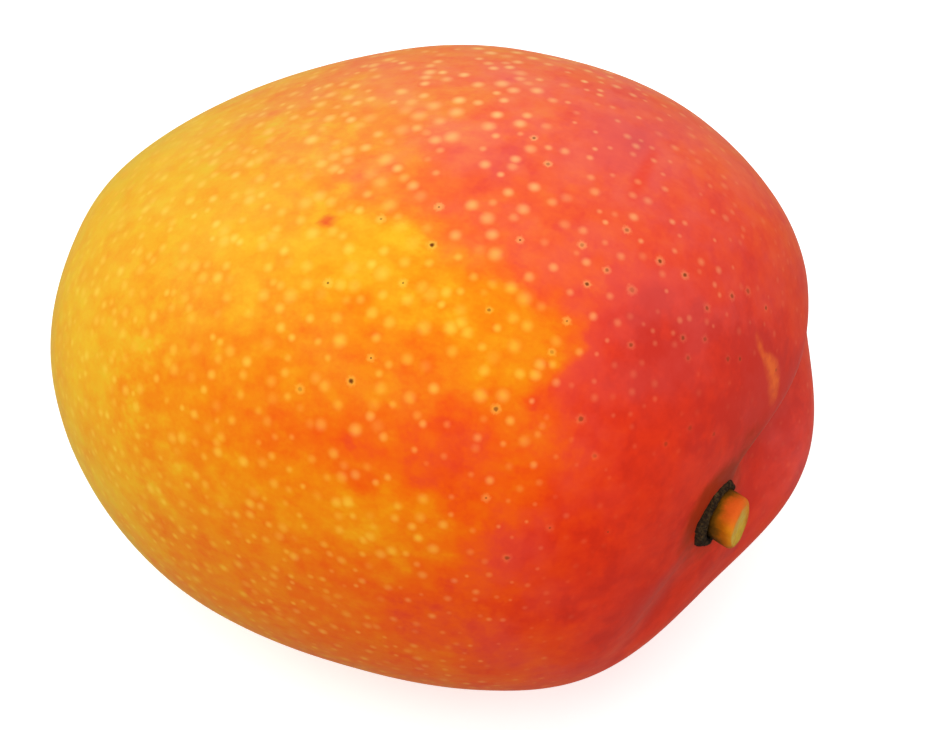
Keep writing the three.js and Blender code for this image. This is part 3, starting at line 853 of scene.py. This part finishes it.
cork = bpy.data.materials.new("cork")
cork.use_nodes = True
tree = cork.node_tree
crust = tree.nodes["Principled BSDF"]
place = node(tree, "TexCoord").outputs["Object"]
coarse = maths("MULTIPLY", noise_at(COARSE_SCALE, detail=5, roughness=0.7), COARSE_SHARE)
grit = maths("MULTIPLY", noise_at(GRIT_SCALE, detail=3), GRIT_SHARE)
grain = maths("SUBTRACT", maths("ADD", coarse, grit), GRAIN_SHIFT)
tree.links.new(colours_along(grain, CORK_COLOURS), crust.inputs["Base Color"])
tree.links.new(remap(grain, *CORK_BAND, *CORK_ROUGHNESS), crust.inputs["Roughness"])
crust.inputs["Specular IOR Level"].default_value = CORK_MIRRORING
cracks = node(tree, "TexVoronoi", {"Vector": place, "Scale": CRACK_SCALE}, feature="DISTANCE_TO_EDGE")
rise = maths("ADD", grain, remap(cracks.outputs["Distance"], 0.0, CRACK_WIDTH))
bump = node(tree, "Bump", {"Height": rise, **CORK_BUMP})
tree.links.new(bump.outputs["Normal"], crust.inputs["Normal"])
collar.data.materials.append(cork)
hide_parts("stem_collar")
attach(collar, "root")


# ==== stem stub ====
# The woody end of the stem, cut off at a slant when the fruit was picked. Its bark is orange over olive, with
# painted shade darkening it towards its foot inside the collar and painted light on its upper side, and its
# cut face is pale yellow-green wood. It grows out of the fruit inside the collar.
STUB_LENGTH, STUB_EDGE, STUB_FOOT = 4.1, 1.0, -0.9
CUT_SLOPES = (0.27, -0.01)  # how much the cut falls towards the ventral side and upwards
STUB_SIDES, SIDE_STEPS, EDGE_STEPS, CUT_STEPS = 200, 26, 10, 22
SWOLLEN_SIDE, SWOLLEN_BAND, SWOLLEN = 45, 38, 0.40  # it is a little thicker on its upper ventral side
BARK_RIDGES = ((1.6, 0.22), (0.5, 0.10), (0.2, 0.04))  # width and depth
RIDGE_STRETCH = 0.25  # they run lengthwise
CUT_DISH, CUT_ROUGH = 0.18, 0.6  # the cut's depth in the middle, and its dents beside the bark's
CUT_HOLE = 0.01  # the radius at which the cut's last ring ends

stub_rings, stub_marks = [], []
for step in range(SIDE_STEPS + EDGE_STEPS + CUT_STEPS):
    if step < SIDE_STEPS:
        radius = STUB_RADIUS
        height = STUB_FOOT + (STUB_LENGTH - STUB_EDGE - STUB_FOOT) * step / SIDE_STEPS
        on_cut = 0.0
    elif step < SIDE_STEPS + EDGE_STEPS:
        bend = (step - SIDE_STEPS) / EDGE_STEPS * math.pi / 2
        radius = STUB_RADIUS - STUB_EDGE * (1 - math.cos(bend))
        height = STUB_LENGTH - STUB_EDGE * (1 - math.sin(bend))
        on_cut = (bend / (math.pi / 2)) ** 2
    else:
        share = (step - SIDE_STEPS - EDGE_STEPS) / (CUT_STEPS - 1)
        radius = (STUB_RADIUS - STUB_EDGE) * (1 - share) + CUT_HOLE * share
        height = STUB_LENGTH - CUT_DISH * math.sin(share * math.pi / 2) ** 2
        on_cut = 1.0
    ring = []
    for side in range(STUB_SIDES):
        angle = 2 * math.pi * side / STUB_SIDES
        spot = Vector((radius * math.cos(angle), radius * math.sin(angle), height * RIDGE_STRETCH))
        dent = sum(depth * (0.5 + 0.5 * noise.noise(spot / size)) for size, depth in BARK_RIDGES)
        swollen = SWOLLEN * bell(turn(SWOLLEN_SIDE, math.degrees(angle)), SWOLLEN_BAND)
        swollen *= radius / STUB_RADIUS
        inward = radius + swollen - dent * (1 - on_cut)
        x, y, z = inward * math.cos(angle), inward * math.sin(angle), height - CUT_ROUGH * dent * on_cut
        if z > 0:  # the cut's slant fades out down to the skin
            z -= (CUT_SLOPES[0] * x + CUT_SLOPES[1] * y) * z / STUB_LENGTH
        ring.append(in_stem_frame(x, y, z))
        off_axis = radius / STUB_RADIUS
        upper, ventral = math.sin(angle) * off_axis, math.cos(angle) * off_axis
        stub_marks.append((height / STUB_LENGTH, on_cut, upper, ventral))
    stub_rings.append(ring)
stub = closed_rings("cut_stem", stub_rings)
for index, name in enumerate(("rise", "cut", "upper", "ventral")):
    values = [marks[index] for marks in stub_marks]
    stub.data.attributes.new(name, "FLOAT", "POINT").data.foreach_set("value", values)

BARK_COLOURS = (  # tone, colour
    (0.0, (0.035, 0.017, 0.002)),
    (0.30, (0.17, 0.060, 0.002)),
    (0.60, (0.46, 0.120, 0.001)),
    (0.85, (0.66, 0.21, 0.004)),
    (1.0, (0.76, 0.21, 0.008)),
)
BARK_LIT, BARK_SHIFT = 0.30, 0.20  # painted light: how much lighter its upper side is
BARK_SCALE, BARK_PATCHES = 900, 0.5
UPPER_BAND, UPPER_TONES, UPPER_SHARE, BARK_UPPER = (0.5, 1.0), (0.3, 0.75), 0.8, (0.78, 0.095, 0.014, 1)
LOWER_BAND, LOWER_RISE, BARK_LOWER = (-0.3, -0.95), (0.25, 0.7), (0.54, 0.27, 0.016, 1)
WOOD_COLOURS = (  # tone, colour
    (0.0, (0.50, 0.30, 0.018)),
    (0.4, (0.68, 0.42, 0.040)),
    (0.65, (0.60, 0.42, 0.07)),
    (1.0, (0.76, 0.28, 0.03)),
)
WOOD_SCALE, WOOD_LIT = 700, 0.55
FRAY_SCALE, FRAYING, FRAY_BAND = 800, 1.0, (0.35, 1.15)  # the bark frays into the cut
BARKED_BAND, BARKED = (0.15, 0.75), 0.5  # and covers its edge on the ventral side
STUB_SCALE, STUB_ROUGHNESS, STUB_MIRRORING = 2000, (0.5, 0.72), 0.1
GRAIN_SCALE, STUB_BUMP = 2600, {"Strength": 0.5, "Distance": 0.00012}
wood = bpy.data.materials.new("stem_wood")
wood.use_nodes = True
tree = wood.node_tree
pith = tree.nodes["Principled BSDF"]
place = node(tree, "TexCoord").outputs["Object"]
# painted shade darkens the bark towards its foot down inside the collar, and painted light makes its upper
# side lighter
bark_tone = maths("ADD", kept("rise"), maths("MULTIPLY", kept("upper"), BARK_LIT))
bark_tone = maths("SUBTRACT", bark_tone, BARK_SHIFT)
bark_tone = varied(bark_tone, BARK_PATCHES, BARK_SCALE, detail=4)
wood_tone = noise_at(WOOD_SCALE, detail=5, roughness=0.6)
wood_tone = maths("ADD", wood_tone, maths("MULTIPLY", kept("upper"), WOOD_LIT))
frayed = varied(kept("cut"), FRAYING, FRAY_SCALE, detail=4)
frayed = maths("SUBTRACT", frayed, remap(kept("ventral"), *BARKED_BAND, 0.0, BARKED))
bark_colour = colours_along(bark_tone, BARK_COLOURS)
reddened = remap(kept("upper"), *UPPER_BAND, 0.0, UPPER_SHARE)
reddened = maths("MULTIPLY", reddened, remap(bark_tone, *UPPER_TONES))
yellowed = maths("MULTIPLY", remap(kept("upper"), *LOWER_BAND), remap(kept("rise"), *LOWER_RISE))
bark_colour = mixed(yellowed, mixed(reddened, bark_colour, BARK_UPPER), BARK_LOWER)
shown = mixed(remap(frayed, *FRAY_BAND), bark_colour, colours_along(wood_tone, WOOD_COLOURS))
tree.links.new(shown, pith.inputs["Base Color"])
rough = remap(noise_at(STUB_SCALE, detail=3), *NOISE_RANGE, *STUB_ROUGHNESS)
tree.links.new(rough, pith.inputs["Roughness"])
pith.inputs["Specular IOR Level"].default_value = STUB_MIRRORING
bump = node(tree, "Bump", {"Height": noise_at(GRAIN_SCALE, detail=4, roughness=0.7), **STUB_BUMP})
tree.links.new(bump.outputs["Normal"], pith.inputs["Normal"])
stub.data.materials.append(wood)
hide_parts("stem_stub")
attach(stub, "root")
